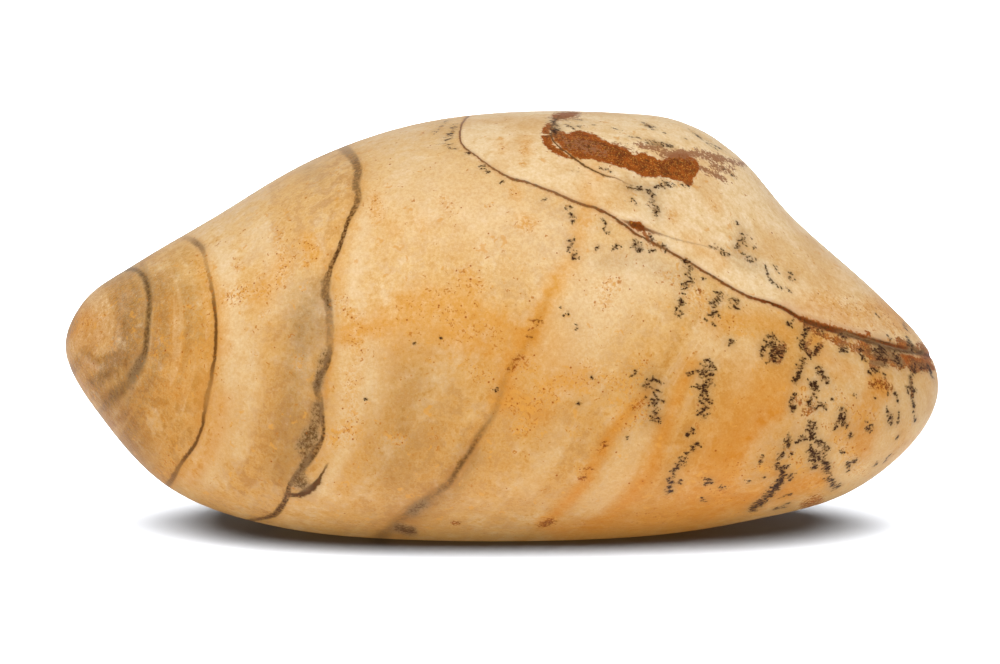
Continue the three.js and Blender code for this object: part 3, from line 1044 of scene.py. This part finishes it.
# from the left tip to the right end: layer, tone and how bright
layerTones = [
    (-1.0, "clay", 1.0),
    (-0.6, "tan", 1.0),
    (-0.25, "tan", 1.05),
    (0.0, "tan", 0.95),
    (0.15, "clay", 1.05),
    (0.5, "honey", 0.9),
    (0.9, "honey", 0.86),
    (1.02, "biscuit", 1.0),
    (1.1, "sand", 1.0),
    (1.3, "sand", 0.96),
    (1.5, "tan", 1.04),
    (1.8, "tan", 1.02),
    (1.97, "clay", 1.0),
    (2.03, "biscuit", 1.0),
    (2.1, "sand", 1.0),
    (2.25, "sand", 0.97),
    (2.5, "biscuit", 1.0),
    (2.8, "biscuit", 0.94),
    (3.0, "tan", 1.0),
    (3.06, "biscuit", 1.0),
    (3.4, "biscuit", 1.0),
    (3.9, "biscuit", 0.95),
    (4.0, "honey", 0.9),
    (4.1, "biscuit", 1.0),
    (4.4, "sand", 0.94),
    (4.95, "honey", 1.02),
    (5.03, "honey", 0.95),
    (5.5, "honey", 1.0),
    (5.95, "honey", 0.98),
    (6.05, "sand", 0.93),
    (6.5, "sand", 0.92),
    (7.0, "sand", 1.02),
]

polish = {
    "sheen": 0.005,  # light that the gloss adds to every tone
    "light": 1.42,  # how much brighter than its own colour the stone looks
    "roughness": 0.34,
    "ior": 1.54,
    "gloss": 0.06,
}


# the palette says how a tone looks in the studio light, and the stone's own colour is darker
def toneOf(name, brightness=1.0):
    lit = [((channel / 255 + 0.055) / 1.055) ** 2.4 * brightness for channel in palette[name]]
    return tuple(max(channel - polish["sheen"], 0.003) / polish["light"] for channel in lit) + (1.0,)


jasper = bpy.data.materials.new("polishedJasper")
jasper.use_nodes = True
tree = jasper.node_tree


def addNode(kind, inputs, output=0, **settings):
    node = tree.nodes.new(kind)
    for name, value in settings.items():
        setattr(node, name, value)
    for key, value in inputs.items():
        if isinstance(value, bpy.types.NodeSocket):
            tree.links.new(value, node.inputs[key])
        else:
            node.inputs[key].default_value = value
    return node.outputs[output]


def compute(operation, a, b=0.0, c=0.0):
    return addNode("ShaderNodeMath", {0: a, 1: b, 2: c}, operation=operation)


def fade(value, low, high, top=1.0):
    inputs = {"Value": value, "From Min": low, "From Max": high, "To Max": top}
    return addNode("ShaderNodeMapRange", inputs, interpolation_type="SMOOTHSTEP")


def blend(factor, under, over):
    return addNode("ShaderNodeMix", {0: factor, 6: under, 7: over}, 2, data_type="RGBA")


def readField(name):
    return addNode("ShaderNodeAttribute", {}, "Fac", attribute_name=name)


def readVein(name):
    field = addNode("ShaderNodeAttribute", {}, "Vector", attribute_name=name)
    split = tree.nodes.new("ShaderNodeSeparateXYZ")
    tree.links.new(field, split.inputs[0])
    return split.outputs[0], split.outputs[1], split.outputs[2]


def noise(where, scale, detail=2.0, roughness=0.5):
    inputs = {"Vector": where, "Scale": scale, "Detail": detail, "Roughness": roughness}
    return addNode("ShaderNodeTexNoise", inputs)


# noise swings about one half, so this is how far it pushes either way
def push(value, field, amount):
    return compute("MULTIPLY_ADD", compute("SUBTRACT", field, 0.5), amount, value)


# how strongly a vein colours the stone: wider is in line widths
def drawLine(name, wobble, wider, core):
    far, width, strength = readVein(name)
    ratio = compute("DIVIDE", compute("ABSOLUTE", compute("ADD", far, wobble)), width)
    ratio = compute("DIVIDE", ratio, wider)
    return compute("MULTIPLY", fade(ratio, 1.0, core), strength)


# a stain that breaks up into grains where it is weak
def breakUp(name, grains, amount):
    field = readField(name)
    mask = fade(compute("MULTIPLY_ADD", field, amount, grains), 0.56, 0.68, 0.92)
    return compute("MULTIPLY", mask, fade(field, 0.03, 0.25))


# small round specks, as dense as the share of cells that hold one
def scatter(where, scale, radius, share):
    cells = tree.nodes.new("ShaderNodeTexVoronoi")
    tree.links.new(where, cells.inputs["Vector"])
    cells.inputs["Scale"].default_value = scale
    chances = tree.nodes.new("ShaderNodeSeparateColor")
    tree.links.new(cells.outputs["Color"], chances.inputs[0])
    size = compute("MULTIPLY_ADD", chances.outputs[1], radius * scale, radius * scale * 0.5)
    dot = fade(compute("DIVIDE", cells.outputs["Distance"], size), 1.0, 0.5)
    return compute("MULTIPLY", dot, compute("LESS_THAN", chances.outputs[0], share))


def makeRamp(value, stops):
    low, high = stops[0][0], stops[-1][0]
    node = tree.nodes.new("ShaderNodeValToRGB")
    ramp = node.color_ramp
    while len(ramp.elements) < len(stops):
        ramp.elements.new(0.5)
    for element, (at, name, brightness) in zip(ramp.elements, stops):
        element.position = (at - low) / (high - low)
        element.color = toneOf(name, brightness)
    share = compute("DIVIDE", compute("SUBTRACT", value, low), high - low)
    tree.links.new(share, node.inputs[0])
    return node.outputs[0]


# gamma over one is darker and warmer, and under one is paler
def deepen(colour, amount):
    return addNode("ShaderNodeGamma", {"Color": colour, "Gamma": compute("ADD", amount, 1.0)})


# noise by its scale per millimetre, detail and roughness
texture = {
    "clouds": (0.24, 4.0, 0.55),
    "patches": (0.75, 5.0, 0.6),
    "blotch": (1.3, 3.0, 0.6),
    "mottle": (2.2, 5.0, 0.65),
    "grit": (6.5, 3.0, 0.65),
    "dust": (14.0, 2.0, 0.6),
}
# freckles by their cells per millimetre and their radius
freckles = {"soft": (2.0, 0.17), "small": (5.0, 0.075), "dark": (4.6, 0.05), "ink": (9.0, 0.04)}


def paintJasper():
    objectSpot = addNode("ShaderNodeTexCoord", {}, "Object")
    spot = addNode("ShaderNodeMapping", {"Vector": objectSpot, "Scale": (1000, 1000, 1000)})
    clouds, patches, blotch, mottle, grit, dust = [noise(spot, *kind) for kind in texture.values()]
    uneven = compute("MULTIPLY_ADD", mottle, 1.6, 0.2)
    grainy = compute("MULTIPLY_ADD", fade(grit, 0.64, 0.42), 0.45, 0.55)

    # the layers and the pale facet over the crack
    layer = readField("layer")
    wavy = push(push(layer, mottle, 0.1), patches, 0.16)
    colour = makeRamp(wavy, layerTones)
    height = addNode("ShaderNodeSeparateXYZ", {0: spot}, 2)
    along = addNode("ShaderNodeCombineXYZ", {0: compute("MULTIPLY", layer, 4.0),
                                             1: compute("MULTIPLY", height, 0.12)})
    streaks = noise(along, 1.2, 3.0, 0.5)
    colour = blend(fade(streaks, 0.5, 0.66, 0.45), colour, toneOf("cream"))
    colour = blend(fade(streaks, 0.5, 0.34, 0.3), colour, toneOf("honey"))
    crackSide = readVein("rustCrack")[0]
    facet = fade(push(crackSide, mottle, 0.05), -0.03, 0.04)
    facetTone = blend(fade(clouds, 0.48, 0.66), toneOf("cream", 1.06), toneOf("sand"))
    colour = blend(facet, colour, facetTone)

    # soft blotches, then the stains in their places, and the pale marks of painted highlight and
    # glints
    plain = compute("SUBTRACT", 1.0, compute("MULTIPLY", facet, 0.6))
    colour = blend(fade(clouds, 0.5, 0.66, 0.3), colour, toneOf("honey"))
    colour = blend(fade(patches, 0.5, 0.36, 0.4), colour, toneOf("cream"))
    colour = blend(compute("MULTIPLY", plain, fade(blotch, 0.46, 0.56, 0.5)), colour, toneOf("butter"))
    colour = blend(compute("MULTIPLY", plain, fade(blotch, 0.54, 0.66, 0.5)), colour, toneOf("honey"))
    colour = blend(compute("MULTIPLY", plain, fade(mottle, 0.47, 0.56, 0.6)), colour, toneOf("butter"))
    colour = blend(compute("MULTIPLY", plain, fade(mottle, 0.56, 0.66, 0.5)), colour, toneOf("honey"))
    for name, tone, most in (
        ("pale", "cream", 0.9),
        # painted highlights and glints
        ("lipAndGlint", "lipAndGlint", 1.0),
        ("ochre", "amber", 1.0),
        ("smoke", "smoke", 0.8),
    ):
        share = compute("MULTIPLY", compute("MULTIPLY", readField(name), uneven), most)
        colour = blend(compute("MINIMUM", share, 1.0), colour, toneOf(tone))
    coarse = fade(layer, 1.15, -0.4, 1.0)
    dull = compute("MULTIPLY", coarse, fade(push(streaks, grit, 0.6), 0.5, 0.38, 0.55))
    colour = blend(dull, colour, toneOf("smoke"))
    bright = compute("MULTIPLY", coarse, fade(push(streaks, grit, 0.4), 0.53, 0.62, 0.6))
    colour = blend(bright, colour, toneOf("sand"))
    strongly = compute("MULTIPLY_ADD", coarse, 2.0, 1.0)
    shade = push(push(push(compute("MULTIPLY", coarse, 0.05), mottle, 0.4), grit, 0.4), dust, 0.25)
    shade = compute("MULTIPLY", push(shade, patches, 0.2), strongly)
    # painted shade: the colour grows darker and warmer towards the bottom by height, and with the 0.06
    # below the top is painted paler
    shade = compute("ADD", shade, fade(height, 14.0, 9.0, 0.22))
    shade = compute("ADD", shade, fade(height, 9.5, 6.0, 0.12))
    colour = deepen(colour, compute("ADD", shade, -0.06))

    # soft amber freckles, in clusters
    speckled = readField("speckled")
    swirl = addNode("ShaderNodeTexNoise", {"Vector": spot, "Scale": 2.6, "Detail": 2.0}, "Color")
    warped = addNode("ShaderNodeVectorMath", {0: spot, 1: swirl})
    flecked = compute("MULTIPLY", compute("ADD", speckled, 0.14), fade(grit, 0.46, 0.57))
    colour = blend(compute("MULTIPLY", flecked, 0.75), colour, toneOf("amber"))
    soft = scatter(warped, *freckles["soft"], compute("MULTIPLY_ADD", speckled, 0.9, 0.14))
    colour = blend(compute("MULTIPLY", soft, 0.6), colour, toneOf("amber"))

    # rust: the patch, the stains along the crack and the mauve streaks
    patch = push(push(readField("rust"), mottle, 0.45), grit, 0.2)
    patchMask = fade(patch, -0.04, 0.05)
    patchTone = blend(fade(mottle, 0.42, 0.6), toneOf("rust"), toneOf("brick"))
    patchTone = blend(fade(dust, 0.55, 0.65, 0.75), patchTone, toneOf("amber"))
    patchTone = blend(fade(grit, 0.45, 0.36, 0.8), patchTone, toneOf("soot"))
    edge = compute("MULTIPLY", patchMask, fade(patch, 0.25, 0.0, 0.8))
    patchTone = blend(edge, patchTone, toneOf("rust"))
    rusty = breakUp("rusty", grit, 0.4)
    rustMask = compute("MAXIMUM", patchMask, rusty)
    colour = blend(rustMask, colour, patchTone)
    colour = blend(breakUp("mauve", grit, 0.28), colour, toneOf("mauve"))

    # the veins and cracks: tone, most, core, grain and halo
    wobble = push(compute("MULTIPLY", compute("SUBTRACT", mottle, 0.5), 0.2), grit, 0.07)
    wider = compute("MULTIPLY_ADD", mottle, 1.5, 0.25)
    lines = (
        ("leftArc", "soot", 0.85, 0.1, grainy, "smoke"),
        ("secondArc", "umber", 0.88, 0.3, 1.0, "ochre"),
        ("darkVein", "umber", 1.0, 0.4, grainy, "clay"),
        ("darkBranch", "umber", 1.0, 0.4, 1.0, "smoke"),
        ("greySeam", "soot", 0.85, 0.0, grainy, "ochre"),
        ("faintCrack", "umber", 0.5, 0.2, grainy, "clay"),
        ("hairCrack", "umber", 0.9, 0.3, 1.0, "ochre"),
        ("knotCrack", "brick", 0.9, 0.3, 1.0, "rust"),
        ("rustCrack", "brick", 1.0, 0.35, 1.0, "rust"),
    )
    dirt = compute("MULTIPLY", fade(grit, 0.53, 0.42), 0.8)
    for name, tone, most, core, grain, halo in lines:
        glow = compute("MULTIPLY", drawLine(name, wobble, 2.6, 0.0), 0.4 * most)
        colour = blend(glow, colour, toneOf(halo))
        line = compute("MULTIPLY", drawLine(name, wobble, wider, core), most)
        lineTone = blend(dirt, toneOf(tone), toneOf("soot"))
        colour = blend(compute("MULTIPLY", line, grain), colour, lineTone)

    # soot, a soft smear that breaks up into grains
    sooty = readField("soot")
    colour = blend(fade(sooty, 0.02, 0.5, 0.65), colour, toneOf("smoke"))
    smear = push(push(compute("MULTIPLY", sooty, 0.8), grit, 0.9), dust, 0.5)
    soot = compute("MULTIPLY", fade(smear, 0.22, 0.62, 0.85), fade(sooty, 0.03, 0.25))
    colour = blend(soot, colour, blend(fade(mottle, 0.44, 0.56, 0.5), toneOf("soot"), toneOf("umber")))

    # the finer freckles
    small = scatter(warped, *freckles["small"], compute("MULTIPLY_ADD", speckled, 0.9, 0.04))
    colour = blend(compute("MULTIPLY", small, 0.8), colour, toneOf("ochre"))
    dark = scatter(spot, *freckles["dark"], compute("MULTIPLY_ADD", speckled, 0.5, 0.01))
    colour = blend(compute("MULTIPLY", dark, 0.9), colour, toneOf("rust"))

    # the dendrites' grains and the grey haze round them
    colour = blend(compute("MULTIPLY", readField("grainShade"), 0.36), colour, toneOf("haze"))
    grain = push(readField("grain"), dust, 0.08)
    cluster = scatter(spot, *freckles["ink"], fade(grain, -0.1, 0.02, 0.65))
    colour = blend(fade(grain, -0.035, 0.01, 0.4), colour, toneOf("umber"))
    grainMask = compute("MAXIMUM", fade(grain, 0.0, 0.035, 1.0), compute("MULTIPLY", cluster, 0.9))
    colour = blend(grainMask, colour, toneOf("ink"))

    # rust and soot are duller, and the tip is rippled
    matt = compute("MAXIMUM", rustMask, soot)
    rough = push(compute("MULTIPLY_ADD", matt, 0.16, polish["roughness"]), grit, 0.16)
    relief = compute("MULTIPLY", grit, compute("MULTIPLY_ADD", coarse, 0.012, 0.008))
    relief = compute("MULTIPLY_ADD", mottle, compute("MULTIPLY_ADD", coarse, 0.03, 0.015), relief)
    relief = compute("MULTIPLY_ADD", streaks, compute("MULTIPLY", coarse, 0.2), relief)
    bumps = addNode("ShaderNodeBump", {"Height": relief, "Distance": millimetre, "Strength": 1.0})
    shader = tree.nodes["Principled BSDF"]
    shader.inputs["IOR"].default_value = polish["ior"]
    shader.inputs["Specular IOR Level"].default_value = polish["gloss"]
    tree.links.new(colour, shader.inputs["Base Color"])
    tree.links.new(rough, shader.inputs["Roughness"])
    tree.links.new(bumps, shader.inputs["Normal"])


paintJasper()
print("jasper painted with", len(tree.nodes), "nodes")
piece = makeStone()
piece.data.materials.clear()
piece.data.materials.append(jasper)
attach(piece, "root")
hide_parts("stone")

studio = {
    "horizon": 0.85,  # brightness of the tent round the stone
    "zenith": 0.5,
    "tentTurn": (0.15, 0.4),  # the heights between which it changes, as shares of straight up
    "bounces": 16,
    "floorSize": 3.0,
    "floorDrop": 0.00002,
    "floorTone": (0.15, 0.153, 0.159, 1.0),
    "stoneSky": {"towards": (-0.08, -0.75, 1.0), "spread": 60.0, "power": 2.45},
    "floorSky": {"towards": (-0.02, -0.55, 1.0), "spread": 80.0, "power": 52.0},
    "floorGlow": {"towards": (-0.02, -0.55, 1.0), "spread": 80.0, "power": 10.0},
    "sideLamp": {"place": (-0.25, -0.02, 0.03), "size": 0.06, "power": 0.05},
    "underLamp": {"place": (0.0, -0.02, -0.12), "size": 0.12, "power": 0.1},
}


def hang(data, place, heading):
    lamp = bpy.data.objects.new(data.name, data)
    lamp.location = place
    lamp.rotation_euler = heading.to_track_quat("-Z", "Y").to_euler()
    bpy.context.scene.collection.objects.link(lamp)
    return lamp


def makeStudio():
    form = bmesh.new()
    bmesh.ops.create_grid(form, x_segments=1, y_segments=1, size=studio["floorSize"] / 2)
    bmesh.ops.translate(form, vec=(0, 0, -studio["floorDrop"]), verts=form.verts)
    mesh = bpy.data.meshes.new("floor")
    form.to_mesh(mesh)
    form.free()
    floor = bpy.data.objects.new("floor", mesh)
    bpy.context.scene.collection.objects.link(floor)
    paper = bpy.data.materials.new("whitePaper")
    paper.use_nodes = True
    shader = paper.node_tree.nodes["Principled BSDF"]
    shader.inputs["Base Color"].default_value = studio["floorTone"]
    shader.inputs["Roughness"].default_value = 0.9
    shader.inputs["Specular IOR Level"].default_value = 0.1
    mesh.materials.append(paper)

    # The floor has a brighter sky of its own, and only its glow bounces up on the stone. The
    # under lamp shines through the floor.
    groups = {}
    for name, pieces in (("stoneOnly", [piece]), ("floorOnly", [floor]), ("both", [piece, floor])):
        groups[name] = bpy.data.collections.new(name)
        for member in pieces:
            groups[name].objects.link(member)
    for name, lights, blocks in (
        ("stoneSky", None, None),
        ("floorSky", "floorOnly", "both"),
        ("floorGlow", "floorOnly", "both"),
        ("sideLamp", None, None),
        ("underLamp", "stoneOnly", "stoneOnly"),
    ):
        lamp = studio[name]
        far = "towards" in lamp
        data = bpy.data.lights.new(name, "SUN" if far else "AREA")
        data.energy = lamp["power"]
        data.cycles.max_bounces = 0 if name == "floorSky" else studio["bounces"]
        if far:
            data.angle = math.radians(lamp["spread"])
            place = Vector(lamp["towards"])
            heading = -place
        else:
            data.size = lamp["size"]
            place = Vector(lamp["place"])
            heading = Vector(camera["aim"]) * millimetre - place
        seat = hang(data, place, heading)
        if lights:
            seat.light_linking.receiver_collection = groups[lights]
            seat.light_linking.blocker_collection = groups[blocks]

    world = bpy.data.worlds.new("tent")
    world.use_nodes = True
    nodes, links = world.node_tree.nodes, world.node_tree.links
    where = nodes.new("ShaderNodeTexCoord")
    split = nodes.new("ShaderNodeSeparateXYZ")
    links.new(where.outputs["Generated"], split.inputs[0])
    fall = nodes.new("ShaderNodeMapRange")
    fall.interpolation_type = "SMOOTHSTEP"
    fall.inputs["From Min"].default_value, fall.inputs["From Max"].default_value = studio["tentTurn"]
    fall.inputs["To Min"].default_value = studio["horizon"]
    fall.inputs["To Max"].default_value = studio["zenith"]
    links.new(split.outputs[2], fall.inputs["Value"])
    links.new(fall.outputs[0], nodes["Background"].inputs["Strength"])
    nodes["Background"].inputs["Color"].default_value = (1, 1, 1, 1)
    bpy.context.scene.world = world
    bpy.context.scene.view_settings.view_transform = "Standard"


makeStudio()
print("studio set")
